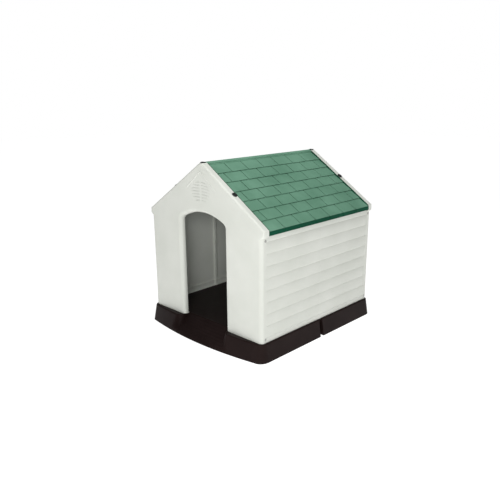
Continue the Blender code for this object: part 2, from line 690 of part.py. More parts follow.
def build_screw(name, side, end, z):
    """Pan-head screw through the gable's side return into the side wall's tongue."""
    profile = [(0.0, SCREW_HEAD_HEIGHT), (SCREW_HEAD_RADIUS * 0.5, SCREW_HEAD_HEIGHT * 0.92),
               (SCREW_HEAD_RADIUS * 0.84, SCREW_HEAD_HEIGHT * 0.6), (SCREW_HEAD_RADIUS, 0.0006),
               (SCREW_HEAD_RADIUS, 0.0),
               (SCREW_SHANK_RADIUS, 0.0), (SCREW_SHANK_RADIUS, 0.003 - SCREW_LENGTH),
               (0.0, -SCREW_LENGTH)]
    screw = turned(name, profile, SCREW_STEEL, 16)
    screw.location = (side * (WALL_HALF_WIDTH + GAP), end * SCREW_Y, z)
    screw.rotation_euler = (0.0, side * math.pi / 2, 0.0)
    return screw


def clip_outline(half_grip):
    """Section of a U clip: (along the flange depth, across the seam)."""
    out = half_grip + CLIP_SHEET
    return [(0.0, -out), (CLIP_LEG, -out), (CLIP_LEG, -half_grip), (CLIP_SHEET, -half_grip),
            (CLIP_SHEET, half_grip), (CLIP_LEG, half_grip), (CLIP_LEG, out), (0.0, out)]


def build_wall_clip(name, side):
    """U clip over the two seam flanges inside a side wall."""
    start = BOARD_INNER - SEAM_FLANGE - CLIP_SHEET - GAP
    outline = [(side * (start + depth), across)
               for depth, across in clip_outline(GAP / 2 + SEAM_FLANGE_SET + SEAM_FLANGE_SHEET + GAP)]
    return prism(name, outline, "Z", CLIP_Z, CLIP_Z + CLIP_HEIGHT, WALL_PLASTIC)


def build_base_clip(name, side):
    """U clip over the two joint flanges under the deck, pushed on from below."""
    start = DECK_Z - BASE_FLANGE_DEPTH - CLIP_SHEET - GAP
    outline = [(across, start + depth) for depth, across in clip_outline(BASE_WALL + GAP)]
    x = side * BASE_CLIP_X
    return prism(name, outline, "X", x - CLIP_HEIGHT / 2, x + CLIP_HEIGHT / 2, BASE_PLASTIC)


# ---- assembly -----------------------------------------------------------------------------------
SIDES = (("left", -1), ("right", 1))
ENDS = (("front", -1), ("rear", 1))


def build_all():
    build_base()
    for end_name, end in ENDS:
        holes = screw_holes(end_name + "_screw_holes", end)
        slots = {side: lock_slot(f"{end_name}_lock_slot_{label}", side, end)
                 for label, side in (("left", -1), ("ridge", 0), ("right", 1))}
        build_gable(end_name + "_gable_panel", end, slots.values(), holes)
        build_lock(end_name + "_ridge_lock", 0, end)
        for side_name, side in SIDES:
            build_side(f"{side_name}_wall_{end_name}", side, end, holes)
            build_roof(f"{side_name}_roof_{end_name}", side, end, [slots[side]])
            build_lock(f"{end_name}_{side_name}_lock", side, end)
            for level, z in zip(("lower", "upper"), SCREW_ROWS_Z):
                build_screw(f"{end_name}_{side_name}_{level}_screw", side, end, z)
    for side_name, side in SIDES:
        build_wall_clip(f"{side_name}_wall_clip", side)
        build_base_clip(f"{side_name}_base_clip", side)


def shade_round_pieces():
    bpy.context.view_layer.update()
    for obj in PARTS.objects:
        if obj.type == "MESH" and ("lock" in obj.name or "screw" in obj.name):
            obj.data.shade_smooth()
            obj.data.set_sharp_from_angle(angle=math.radians(35))


build_all()
shade_round_pieces()
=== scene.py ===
"""Studio scene of the flat-pack plastic kennel.

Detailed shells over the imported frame, with materials, light and camera. Metres, +Z up, the doorway
faces -Y. Sections are drawn about the middle of the four walls; new_object moves them by WALL_Y.
"""

import math

import bmesh
import bpy
from mathutils import Matrix, Vector


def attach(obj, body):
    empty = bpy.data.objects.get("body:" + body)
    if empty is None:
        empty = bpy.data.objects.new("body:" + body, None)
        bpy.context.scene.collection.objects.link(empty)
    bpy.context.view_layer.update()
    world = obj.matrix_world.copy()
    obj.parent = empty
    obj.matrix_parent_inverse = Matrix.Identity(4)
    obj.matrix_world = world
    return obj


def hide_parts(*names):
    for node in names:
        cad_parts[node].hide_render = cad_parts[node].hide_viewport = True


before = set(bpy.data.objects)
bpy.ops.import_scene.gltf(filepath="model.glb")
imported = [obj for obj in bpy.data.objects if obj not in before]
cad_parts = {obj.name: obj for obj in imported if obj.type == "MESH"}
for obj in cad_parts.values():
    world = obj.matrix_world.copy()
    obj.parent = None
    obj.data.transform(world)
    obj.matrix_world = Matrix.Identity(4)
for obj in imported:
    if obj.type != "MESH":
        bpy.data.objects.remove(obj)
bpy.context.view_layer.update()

# ---- dimensions ---------------------------------------------------------------------------------
WALL_Y = 0.0239                 # middle of the walls in the row frame
DECK_Z = 0.0976
GAP = 0.0003                    # clearance between touching pieces
SHEET = 0.0032                  # moulded sheet thickness
SMOOTH_ANGLE = 34.0             # edges sharper than this stay crisp, in degrees
WALL_HALF_WIDTH = 0.431
WALL_HALF_DEPTH = 0.467

RIDGE_Z = 0.972
ROOF_RISE = 0.665
SLOPE = math.atan(ROOF_RISE)
SIN, COS = math.sin(SLOPE), math.cos(SLOPE)
EAVE_HALF_WIDTH = 0.4435
EAVE_BOTTOM_Z = 0.6528
TILE_TOP = -0.0010              # lifts are square to the slope, from the plane through the ridge
TILE_BOTTOM = -0.0060
ROOF_UNDER = -0.0095
EAVE_SLOPE = (EAVE_HALF_WIDTH - TILE_TOP * SIN) / COS
COURSES = 7
COURSE = 0.0730
TILE = 0.122
TILE_SHIFT = -0.008
TILE_JOINT = 0.0050
TILE_SEAT = -0.0082             # top of the sheet under the shingles
TILE_SINK = 0.0004              # how far a shingle reaches into that sheet
TILE_EDGE = 0.0016              # thickness of a shingle's lower edge
TILE_OVERHANG = 0.009           # lower edge stands this far past the shingle's foot
TILE_LAP = 0.008                # upper end runs this far under the next course
SHORTEST_TILE = 0.012           # a joint nearer to the gable rim than this is left out
SHEET_SETBACK = 0.0030          # the sheet stops this far short of the lowest shingles
RIM_INNER_Y = 0.4235
RIM_OUTER_Y = 0.4282
RIM_TOP = 0.0022
RIDGE_BORDER = EAVE_SLOPE - COURSES * COURSE
CAP_WIDTH = 0.0165
CAP_THICKNESS = 0.0028
FLANGE_LIFT = 0.003
LANDING_HALF_WIDTH = 0.012
LANDING_Z = RIDGE_Z + FLANGE_LIFT / COS - ROOF_RISE * LANDING_HALF_WIDTH
TONGUE_TOP = FLANGE_LIFT - SHEET - GAP
TONGUE_SHEET = 0.003
ROOF_TONGUE_END = 0.453

RAKE_EDGE_Y = 0.4286
RETURN_EDGE_Y = 0.4333
EAR_BOTTOM_Z = 0.650
EAR_STEP = 0.010
CORNER_RADIUS = 0.026
RAKE_RADIUS = 0.012

DOOR_HALF_WIDTH = 0.171
DOOR_TOP_Z = 0.7095
DOOR_ARCH_RADIUS = 0.330
DOOR_SHOULDER_RADIUS = 0.030
DOOR_FLARE = 0.020
DOOR_BEAD = 0.0016              # small step where the flare leaves the face
DOOR_REVEAL = 0.028

VENT_CENTRE_Z = 0.822
VENT_ROWS = 7
VENT_PITCH = 0.0155
VENT_HALF_WIDTH = 0.072
VENT_HALF_HEIGHT = 0.058
VENT_BAR_HALF = 0.008           # half the plain bar down the middle
VENT_SLOT_HALF = 0.0027         # half a slot's height at the bar
VENT_TAPER = 0.40               # share of it lost at the slot's end
VENT_DROOP = 0.004              # how far a slot's end hangs below its middle
VENT_CLIMB = 1.55               # rise of a slot per metre inwards
VENT_REACH = 0.004              # cutting length beyond each face of the sheet
PEDIMENT_APEX_Z = 0.927
PEDIMENT_FOOT = (0.112, 0.832)
PEDIMENT_RADIUS = 0.0034
PEDIMENT_SET = 0.0013           # depth of its centre line behind the face

BOARD_PITCH = 0.0623
BOARD_FIRST_LAP = 0.125
BOARD_OUT = 0.4305
BOARD_STEP = 0.0014             # how far a board's lower edge stands out over the next
BOARD_INNER = 0.4238
WALL_TOP_Z = 0.670
SEAM_FLANGE = 0.014             # inner rib beside the seam between a front and a rear wall
SEAM_FLANGE_SET = 0.0034        # its distance from the seam
SEAM_FLANGE_SHEET = 0.0026
WALL_RAIL_Z = 0.131
WALL_TONGUE = 0.0145

BASE_BOTTOM_HALF_WIDTH = 0.4570
BASE_BOTTOM_HALF_DEPTH = 0.4885
BASE_TOP_HALF_WIDTH = 0.4413
BASE_TOP_HALF_DEPTH = 0.4755
BASE_BOW = 0.0478               # how far the front edge bows out at the ground
BASE_TOP_BOW = 0.030            # and at the deck
BASE_WALL = 0.004
BASE_CORNER_BOTTOM = 0.048
BASE_CORNER_TOP = 0.034
BASE_LIP = 0.006
PORCH_HALF_WIDTH = 0.174
PORCH_NOSE = 0.040
PORCH_BACK_Y = -0.427
PORCH_LIP_Z = 0.017
PORCH_LIP_Y = -0.5309
PORCH_PLAN_BACK = 0.45
PORCH_PLAN_FRONT = 0.15
PORCH_EDGE = 0.004              # rounding where the step's shoulders meet the deck
PORCH_RIBS = 7
PORCH_RIB_SHAPE = ((0.04, 0.0010), (0.12, 0.0), (0.30, 0.0), (0.38, 0.0010), (0.43, 0.0035),
                   (0.48, 0.0045), (0.88, 0.0045), (0.95, 0.0035))     # (share of the pitch, depth)
JOINT_GROOVE_HALF = 0.014
JOINT_GROOVE_DEPTH = 0.014
JOINT_GROOVE_TOP = 0.088
JOINT_GROOVE_LEDGE = 0.0090
BASE_FLANGE_DEPTH = 0.030

LOCK_Y = 0.440
RIDGE_LOCK_Y = 0.4445
LOCK_SLOPE = 0.266
SCREW_Y = 0.4410
SCREW_ROWS_Z = (0.117, 0.628)
CLIP_SHEET = 0.0022
CLIP_LEG = 0.012
WALL_CLIP_Z = (0.372, 0.392)
BASE_CLIP_X = 0.2
BASE_CLIP_HALF = 0.010

DOME_STRENGTH = 0.22
FLOOR_EMISSION = 0.90
FLOOR_SIZE = 14.0
KEY_POWER = 24.0
OVERHEAD_POWER = 44.0
LENS = 40.80
LENS_SHIFT = (-0.0075, 0.0064)
CAMERA_AT = (2.2051, -2.3635, 1.3162)           # camera and target, from the middle of the walls
CAMERA_TARGET = (0.2659, -0.3505, 0.5189)
CAMERA_ROLL = -0.0053                           # in radians
WHITE = (1.0, 1.0, 1.0, 1.0)

SIDES = (("left", -1), ("right", 1))
ENDS = (("front", -1), ("rear", 1))


# ---- materials ----------------------------------------------------------------------------------
def shader_material(name, colour, roughness, specular=0.5, metallic=0.0):
    material = bpy.data.materials.new(name)
    material.use_nodes = True
    tree = material.node_tree
    shader = tree.nodes["Principled BSDF"]
    shader.inputs["Base Color"].default_value = (*colour, 1.0)
    shader.inputs["Roughness"].default_value = roughness
    shader.inputs["Specular IOR Level"].default_value = specular
    shader.inputs["Metallic"].default_value = metallic
    return material, tree, shader


def object_coordinates(tree, scale):
    """Object coordinates stretched by scale, so that grain can run along one axis."""
    source = tree.nodes.new("ShaderNodeTexCoord")
    mapping = tree.nodes.new("ShaderNodeMapping")
    mapping.inputs["Scale"].default_value = scale
    tree.links.new(source.outputs["Object"], mapping.inputs["Vector"])
    return mapping.outputs["Vector"]


def noise(tree, vector, scale, detail=4.0, rough=0.55):
    node = tree.nodes.new("ShaderNodeTexNoise")
    node.inputs["Scale"].default_value = scale
    node.inputs["Detail"].default_value = detail
    node.inputs["Roughness"].default_value = rough
    tree.links.new(vector, node.inputs["Vector"])
    return node.outputs["Fac"]


def ramp(tree, factor, stops):
    node = tree.nodes.new("ShaderNodeValToRGB")
    ends = node.color_ramp.elements
    ends[0].position, ends[0].color = stops[0][0], (*stops[0][1], 1.0)
    ends[1].position, ends[1].color = stops[-1][0], (*stops[-1][1], 1.0)
    for position, colour in stops[1:-1]:
        ends.new(position).color = (*colour, 1.0)
    tree.links.new(factor, node.inputs["Fac"])
    return node.outputs["Color"]


def spread(tree, factor, low, high):
    node = tree.nodes.new("ShaderNodeMapRange")
    node.inputs["To Min"].default_value = low
    node.inputs["To Max"].default_value = high
    tree.links.new(factor, node.inputs["Value"])
    return node.outputs["Result"]


def bump(tree, height, strength, distance, base=None):
    node = tree.nodes.new("ShaderNodeBump")
    node.inputs["Strength"].default_value = strength
    node.inputs["Distance"].default_value = distance
    tree.links.new(height, node.inputs["Height"])
    if base:
        tree.links.new(base, node.inputs["Normal"])
    return node.outputs["Normal"]


def moulded_plastic(name, dark, light, roughness, grain_scale, grain, specular=0.5):
    """Injection-moulded plastic: cloudy colour, fine texture and stretched grain in the skin."""
    middle = [(a + b) / 2 for a, b in zip(dark, light)]
    material, tree, shader = shader_material(name, middle, roughness, specular)
    cloudy = noise(tree, object_coordinates(tree, (1, 1, 1)), 5.0, 5.0)
    tree.links.new(ramp(tree, cloudy, ((0.30, dark), (0.52, middle), (0.72, light))),
                   shader.inputs["Base Color"])
    streaks = noise(tree, object_coordinates(tree, grain_scale), 1.0, 6.0, 0.62)
    tree.links.new(spread(tree, streaks, roughness - 0.08, roughness + 0.10),
                   shader.inputs["Roughness"])
    skin = noise(tree, object_coordinates(tree, (1, 1, 1)), 900.0, 2.0)
    fine = bump(tree, skin, 0.10, 0.0004)
    tree.links.new(bump(tree, streaks, grain, 0.0012, fine), shader.inputs["Normal"])
    return material


def screw_metal(name):
    material, tree, shader = shader_material(name, (0.45, 0.45, 0.43), 0.50, metallic=0.25)
    patches = noise(tree, object_coordinates(tree, (1, 1, 1)), 260.0)
    tree.links.new(ramp(tree, patches, ((0.3, (0.36, 0.36, 0.34)), (0.7, (0.52, 0.52, 0.50)))),
                   shader.inputs["Base Color"])
    tree.links.new(spread(tree, patches, 0.40, 0.60), shader.inputs["Roughness"])
    return material


WALL = moulded_plastic("wall_skin", (0.665, 0.685, 0.625), (0.735, 0.750, 0.695), 0.46,
                       (60, 9, 120), 0.10)
ROOF = moulded_plastic("roof_skin", (0.100, 0.240, 0.158), (0.165, 0.345, 0.240), 0.50,
                       (14, 110, 14), 0.22, 0.28)
# darker copy of the roof green, painted shade: the eave's drop edge, the sheet seen in the shingle
# joints and the gable rim are coloured as if in shadow
ROOF_SHADE = moulded_plastic("roof_painted_shade", (0.0010, 0.050, 0.024), (0.0035, 0.080, 0.042), 0.50,
                         (110, 14, 30), 0.15, 0.06)
BASE = moulded_plastic("base_skin", (0.0128, 0.0074, 0.0070), (0.0210, 0.0130, 0.0122), 0.36,
                       (40, 40, 40), 0.16, 0.05)
LOCK = moulded_plastic("lock_skin", (0.0035, 0.0035, 0.0038), (0.0080, 0.0080, 0.0085), 0.30,
                       (90, 90, 90), 0.08, 0.4)
SCREW = screw_metal("screw_skin")


# ---- mesh building blocks -----------------------------------------------------------------------
def new_object(name, bm, material):
    """Object in the row frame from a bmesh drawn about the middle of the walls."""
    bmesh.ops.recalc_face_normals(bm, faces=bm.faces)
    bmesh.ops.translate(bm, verts=bm.verts, vec=Vector((0.0, WALL_Y, 0.0)))
    mesh = bpy.data.meshes.new(name)
    bm.to_mesh(mesh)
    bm.free()
    mesh.materials.append(material)
    mesh.shade_smooth()
    mesh.set_sharp_from_angle(angle=math.radians(SMOOTH_ANGLE))
    obj = bpy.data.objects.new(name, mesh)
    bpy.context.scene.collection.objects.link(obj)
    return obj


def prism_mesh(outline, axis, low, high, bm=None):
    """Outline of (a, b) points carried along one axis from low to high."""
    place = {
        "X": lambda a, b, t: (t, a, b),
        "Y": lambda a, b, t: (a, t, b),
        "Z": lambda a, b, t: (a, b, t),
    }[axis]
    bm = bm or bmesh.new()
    lower, upper = ([bm.verts.new(place(a, b, t)) for a, b in outline] for t in (low, high))
    count = len(outline)
    for i in range(count):
        bm.faces.new((lower[i], lower[(i + 1) % count], upper[(i + 1) % count], upper[i]))
    bm.faces.new(lower)
    bm.faces.new(list(reversed(upper)))
    return bm


def box_mesh(corner_a, corner_b, bm=None):
    low = [min(a, b) for a, b in zip(corner_a, corner_b)]
    high = [max(a, b) for a, b in zip(corner_a, corner_b)]
    outline = [(low[0], low[1]), (high[0], low[1]), (high[0], high[1]), (low[0], high[1])]
    return prism_mesh(outline, "Z", low[2], high[2], bm)


def loft(rings, bm=None):
    """Closed skin through rings of equal point counts."""
    bm = bm or bmesh.new()
    loops = [[bm.verts.new(point) for point in ring] for ring in rings]
    count = len(loops[0])
    for lower, upper in zip(loops, loops[1:]):
        for i in range(count):
            bm.faces.new((lower[i], lower[(i + 1) % count], upper[(i + 1) % count], upper[i]))
    bm.faces.new(loops[0])
    bm.faces.new(list(reversed(loops[-1])))
    return bm


def arc(centre, radius, start, end, steps):
    angles = [math.radians(start + (end - start) * i / steps) for i in range(steps + 1)]
    return [(centre[0] + radius * math.cos(a), centre[1] + radius * math.sin(a)) for a in angles]


def bevel(obj, width, segments=2, angle=35.0):
    modifier = obj.modifiers.new("worn_edges", "BEVEL")
    modifier.width = width
    modifier.segments = segments
    modifier.limit_method = "ANGLE"
    modifier.angle_limit = math.radians(angle)
    modifier.harden_normals = True
    modifier.miter_outer = "MITER_ARC"


def weigh_normals(obj):
    modifier = obj.modifiers.new("even_shading", "WEIGHTED_NORMAL")
    modifier.keep_sharp = True
    modifier.weight = 80


def apply_modifiers(obj):
    """Bake the modifiers into the mesh, so that the helpers they use can be removed."""
    bpy.context.view_layer.update()
    mesh = bpy.data.meshes.new_from_object(obj.evaluated_get(bpy.context.evaluated_depsgraph_get()))
    obj.modifiers.clear()
    obj.data = mesh
    mesh.name = obj.name


def combine(obj, other, operation):
    """Apply one exact boolean and drop the helper."""
    modifier = obj.modifiers.new(operation, "BOOLEAN")
    modifier.operation = operation
    modifier.solver = "EXACT"
    modifier.object = other
    apply_modifiers(obj)
    bpy.data.objects.remove(other, do_unlink=True)


def cut(obj, *others):
    for other in others:
        combine(obj, other, "DIFFERENCE")


def join(obj, *others):
    for other in others:
        combine(obj, other, "UNION")


def finish_shell(obj, angle=SMOOTH_ANGLE):
    obj.data.shade_smooth()
    obj.data.set_sharp_from_angle(angle=math.radians(angle))
    weigh_normals(obj)


def settle(obj, node, body="kennel"):
    """The piece rides on the body and stands for the node, if it has one."""
    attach(obj, body)
    if node:
        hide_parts(node)


# ---- roof ---------------------------------------------------------------------------------------
def slope_point(side, down, lift):
    """(x, z) of a point so far down the slope from the ridge and so far above it."""
    return side * (down * COS + lift * SIN), RIDGE_Z - down * SIN + lift * COS


def course_joint(course, column):
    """Y of a joint between shingles. Every other course is set over by half a shingle."""
    return TILE_SHIFT + TILE * (column + (0.5 if course % 2 == 0 else 0.0))


def slab(bm, side, section, low, high):
    """Prism along Y whose section is a list of (down, lift) on one slope."""
    prism_mesh([slope_point(side, down, lift) for down, lift in section], "Y",
               min(low, high), max(low, high), bm)


def course_spans(course, end):
    """Y spans of the shingles of one course between the seam and the gable rim."""
    columns = range(0, 5) if end > 0 else range(0, -5, -1)
    edges = [course_joint(course, column) for column in columns]
    edges = [y for y in edges if abs(y) < RIM_INNER_Y - SHORTEST_TILE]
    edges.append(end * (RIM_INNER_Y - 0.0004))
    spans = []
    for first, second in zip(edges, edges[1:]):
        inner = first + end * TILE_JOINT / 2
        outer = second - end * (TILE_JOINT / 2 if second != edges[-1] else 0.0)
        spans.append((inner, outer))
    return spans


def shingle_tiles(side, end):
    """Wedge-shaped shingles, course by course, with open joints between them."""
    bm = bmesh.new()
    for course in range(COURSES):
        lower = EAVE_SLOPE - course * COURSE
        foot, tail = lower - TILE_OVERHANG, lower - COURSE - TILE_LAP
        for low, high in course_spans(course, end):
            section = [(lower, TILE_TOP), (lower, TILE_TOP - TILE_EDGE), (foot, TILE_TOP - 0.0022),
                       (foot, TILE_SEAT - TILE_SINK), (tail, TILE_SEAT - TILE_SINK),
                       (tail, TILE_BOTTOM)]
            slab(bm, side, section, low, high)
    return bm


def roof_sheet(side, end):
    """Sheet under the shingles, with the gable rim and the tongue; its darker green is painted shade
    in the joints and on the rim.
    """
    bm = bmesh.new()
    rim = end * RIM_OUTER_Y
    for course in range(COURSES):
        lower = EAVE_SLOPE - course * COURSE - (SHEET_SETBACK if course == 0 else 0.0)
        upper = EAVE_SLOPE - (course + 1) * COURSE
        section = [(lower, TILE_SEAT), (lower, ROOF_UNDER), (upper, ROOF_UNDER), (upper, TILE_SEAT)]
        slab(bm, side, section, course_joint(course, 0) + end * GAP / 2,
             end * (RIM_INNER_Y + 0.001))
    low = EAVE_SLOPE - 0.0045
    high = CAP_WIDTH + 2 * GAP if side > 0 else RIDGE_BORDER - 0.002
    slab(bm, side, [(high, RIM_TOP), (low, RIM_TOP), (low, ROOF_UNDER), (high + 0.004, ROOF_UNDER)],
         end * RIM_INNER_Y, rim)
    tongue = (end * (RIM_OUTER_Y - 0.0004), end * ROOF_TONGUE_END)
    prism_mesh(tongue_outline(side), "Y", min(tongue), max(tongue), bm)
    return bm


def ridge_border(side, end):
    """Plain strip over the top course. The left one carries on over the ridge as a cap."""
    seam = course_joint(COURSES - 1, 0) + end * GAP / 2
    rim = end * RIM_OUTER_Y
    under_ridge = RIDGE_Z + ROOF_UNDER / COS
    if side > 0:
        seat = -CAP_THICKNESS - GAP
        outline = [slope_point(1, RIDGE_BORDER, seat), slope_point(1, CAP_WIDTH + 0.0012, seat),
                   (GAP, RIDGE_Z + seat / COS), (GAP, under_ridge),
                   slope_point(1, RIDGE_BORDER, ROOF_UNDER)]
    else:
        outline = [slope_point(-1, RIDGE_BORDER, 0.0), (0.0, RIDGE_Z),
                   slope_point(1, CAP_WIDTH, 0.0), slope_point(1, CAP_WIDTH, -CAP_THICKNESS),
                   (0.0, RIDGE_Z - CAP_THICKNESS / COS),
                   (-GAP, RIDGE_Z - CAP_THICKNESS / COS - GAP), (-GAP, under_ridge),
                   slope_point(-1, RIDGE_BORDER, ROOF_UNDER)]
    return prism_mesh(outline, "Y", min(seam, rim), max(seam, rim))


def tongue_outline(side):
    """Section of the tongue that runs under the gable's rake flange and landing."""
    top_z = LANDING_Z - SHEET - GAP
    under = TONGUE_TOP - TONGUE_SHEET
    flat_out = (RIDGE_Z + TONGUE_TOP / COS - top_z) / ROOF_RISE
    under_out = (RIDGE_Z + under / COS - top_z + TONGUE_SHEET) / ROOF_RISE
    low = EAVE_SLOPE - 0.008
    return [(side * 0.0054, top_z), (side * flat_out, top_z), slope_point(side, low, TONGUE_TOP),
            slope_point(side, low, under), (side * under_out, top_z - TONGUE_SHEET),
            (side * 0.0054, top_z - TONGUE_SHEET)]


def fascia_strip(side, end):
    """Drop edge under the eave, notched where the shingles meet."""
    bm = bmesh.new()
    top = EAVE_SLOPE * -SIN + RIDGE_Z + TILE_TOP * COS - 0.0002
    seam = course_joint(0, 0) + end * GAP / 2
    box_mesh((side * (EAVE_HALF_WIDTH - SHEET), seam, EAVE_BOTTOM_Z),
             (side * (EAVE_HALF_WIDTH - 0.0014), end * RIM_OUTER_Y, top - 0.004), bm)
    for low, high in course_spans(0, end):
        reach = high if abs(high) < RIM_INNER_Y - 0.01 else end * RIM_OUTER_Y
        box_mesh((side * (EAVE_HALF_WIDTH - 0.0020), low, EAVE_BOTTOM_Z),
                 (side * EAVE_HALF_WIDTH, reach, top - 0.0018), bm)
    return bm


def build_roof(side_name, side, end_name, end):
    node = f"{side_name}_roof_{end_name}"
    # the sheet and its gable rim take the darker roof green as painted shade
    sheet = new_object(f"{side_name}_roof_sheet_{end_name}", roof_sheet(side, end), ROOF_SHADE)
    bevel(sheet, 0.0007)
    settle(sheet, node)
    border = new_object(f"{side_name}_roof_border_{end_name}", ridge_border(side, end), ROOF)
    bevel(border, 0.0007)
    settle(border, node)
    tiles = new_object(f"{side_name}_roof_shingles_{end_name}", shingle_tiles(side, end), ROOF)
    bevel(tiles, 0.0009)
    settle(tiles, node)
    # the drop edge takes the darker roof green as painted shade on its upright face
    fascia = new_object(f"{side_name}_roof_fascia_{end_name}", fascia_strip(side, end), ROOF_SHADE)
    bevel(fascia, 0.0006)
    settle(fascia, node)


# ---- side walls ---------------------------------------------------------------------------------
def board_outline(side):
    """Section of a side wall as (x, z): lapped boards with rounded lower edges outside."""
    outer = [(BOARD_OUT, DECK_Z + GAP)]
    lap, previous = BOARD_FIRST_LAP, DECK_Z + GAP
    while lap < WALL_TOP_Z:
        depth = BOARD_STEP * (lap - previous) / BOARD_PITCH
        outer.append((BOARD_OUT - depth, lap - 0.0006))
        outer.append((BOARD_OUT - depth - 0.0004, lap))
        outer.append((BOARD_OUT - 0.0012, lap + 0.0008))
        outer.append((BOARD_OUT - 0.0003, lap + 0.0018))
        outer.append((BOARD_OUT, lap + 0.0035))
        previous = lap
        lap += BOARD_PITCH
    outer.append((BOARD_OUT - BOARD_STEP * (WALL_TOP_Z - previous) / BOARD_PITCH, WALL_TOP_Z))
    inner = [(BOARD_INNER, WALL_TOP_Z), (BOARD_INNER, WALL_RAIL_Z + 0.0170),
             (BOARD_INNER + 0.0022, WALL_RAIL_Z + 0.0160),
             (BOARD_INNER + 0.0022, WALL_RAIL_Z + 0.0110),
             (BOARD_INNER, WALL_RAIL_Z + 0.0100), (BOARD_INNER, WALL_RAIL_Z + 0.0050),
             (BOARD_INNER - 0.0060, WALL_RAIL_Z + 0.0030), (BOARD_INNER - 0.0070, WALL_RAIL_Z),
             (BOARD_INNER - 0.0060, WALL_RAIL_Z - 0.0030), (BOARD_INNER, WALL_RAIL_Z - 0.0040),
             (BOARD_INNER, DECK_Z + 0.0040),
             (BOARD_INNER - 0.0100, DECK_Z + 0.0030), (BOARD_INNER - 0.0100, DECK_Z + GAP)]
    return [(side * x, z) for x, z in outer + inner]


def build_wall(side_name, side, end_name, end):
    seam, edge = end * GAP / 2, end * (RETURN_EDGE_Y - GAP)
    bm = prism_mesh(board_outline(side), "Y", min(seam, edge), max(seam, edge))
    panel = new_object(f"{side_name}_wall_boards_{end_name}", bm, WALL)
    bevel(panel, 0.0005, 2, 50.0)
    settle(panel, f"{side_name}_wall_{end_name}")
    near, far = (seam + end * y for y in (SEAM_FLANGE_SET, SEAM_FLANGE_SET + SEAM_FLANGE_SHEET))
    flange = box_mesh((side * (BOARD_INNER - SEAM_FLANGE), near, DECK_Z + GAP),
                      (side * (BOARD_INNER + 0.002), far, WALL_TOP_Z - 0.008))
    box_mesh((side * (BOARD_INNER + 0.0005), edge - end * 0.006, DECK_Z + SHEET + 2 * GAP),
             (side * (WALL_HALF_WIDTH - SHEET - 0.001), edge + end * WALL_TONGUE,
              EAR_BOTTOM_Z - EAR_STEP - 0.004), flange)
    ribs = new_object(f"{side_name}_wall_flanges_{end_name}", flange, WALL)
    bevel(ribs, 0.0006)
    settle(ribs, f"{side_name}_wall_{end_name}")


# ---- gable panels -------------------------------------------------------------------------------
def gable_outline(inset):
    """(x, z) outline of a gable, with its ears at the eaves and the flat landing at the apex."""
    apex = RIDGE_Z + (FLANGE_LIFT - inset) / COS
    landing_z = LANDING_Z - inset
    landing = (apex - landing_z) / ROOF_RISE
    wall, ear = WALL_HALF_WIDTH - inset, EAVE_HALF_WIDTH - inset
    right = [(wall, DECK_Z + GAP + inset), (wall, EAR_BOTTOM_Z - EAR_STEP + inset * 0.4),
             (ear, EAR_BOTTOM_Z + inset * 0.4), (ear, apex - ROOF_RISE * ear), (landing, landing_z)]
    return right + [(-x, z) for x, z in reversed(right)]


def gable_pan(name, inset, front, back, radius, rake_radius):
    """Gable-shaped block with its outer edges rounded, more at the corners than at the rakes."""
    side = math.copysign(1, front)
    block = prism_mesh(gable_outline(inset), "Y", min(front, back), max(front, back))
    pan = new_object(name, block, WALL)
    weights = pan.data.attributes.new("bevel_weight_edge", "FLOAT", "EDGE")
    for edge in pan.data.edges:
        a, b = (pan.data.vertices[i].co for i in edge.vertices)
        near = min(side * (a.y - WALL_Y), side * (b.y - WALL_Y))
        if near < side * front - 1e-5 or max(a.z, b.z) < DECK_Z + 0.02:
            continue
        upright = abs(a.x - b.x) < 1e-5 and max(a.z, b.z) < EAR_BOTTOM_Z
        weights.data[edge.index].value = 1.0 if upright else rake_radius / radius
    modifier = pan.modifiers.new("rounded_edges", "BEVEL")
    modifier.limit_method = "WEIGHT"
    modifier.width = radius
    modifier.segments = 8
    modifier.use_clamp_overlap = False
    apply_modifiers(pan)
    return pan


def door_outline(grow):
    """(x, z) outline of the doorway: a flat arch between two round shoulders."""
    arch = DOOR_ARCH_RADIUS + grow
    centre_z = DOOR_TOP_Z - DOOR_ARCH_RADIUS
    shoulder = DOOR_SHOULDER_RADIUS + grow
    shoulder_x = DOOR_HALF_WIDTH - DOOR_SHOULDER_RADIUS
    reach = DOOR_ARCH_RADIUS - DOOR_SHOULDER_RADIUS
    turn = math.degrees(math.acos(shoulder_x / reach))
    shoulder_z = centre_z + math.sqrt(reach ** 2 - shoulder_x ** 2)
    right = [(shoulder_x + shoulder, 0.05)]
    right += arc((shoulder_x, shoulder_z), shoulder, 0, turn, 10)
    right += arc((0.0, centre_z), arch, turn, 90, 14)[1:]
    return right + [(-x, z) for x, z in reversed(right[:-1])]


def door_solid(name, grow, back_y):
    """Doorway air with a quarter-round flare at the outer face."""
    front = -WALL_HALF_DEPTH
    rings = []
    if grow == 0:
        rings.append([(x, front - 0.02, z) for x, z in door_outline(DOOR_FLARE)])
        rings.append([(x, front, z) for x, z in door_outline(DOOR_FLARE)])
    bead = DOOR_BEAD if grow == 0 else 0.0
    for i in range(11):
        turn = math.radians(9 * i)
        out = (DOOR_FLARE - bead) * (1 - math.sin(turn)) + grow
        depth = (DOOR_FLARE - grow - bead) * (1 - math.cos(turn)) + grow + bead
        rings.append([(x, front + depth, z) for x, z in door_outline(out)])
    rings.append([(x, back_y, z) for x, z in door_outline(grow)])
    return new_object(name, loft(rings), WALL)


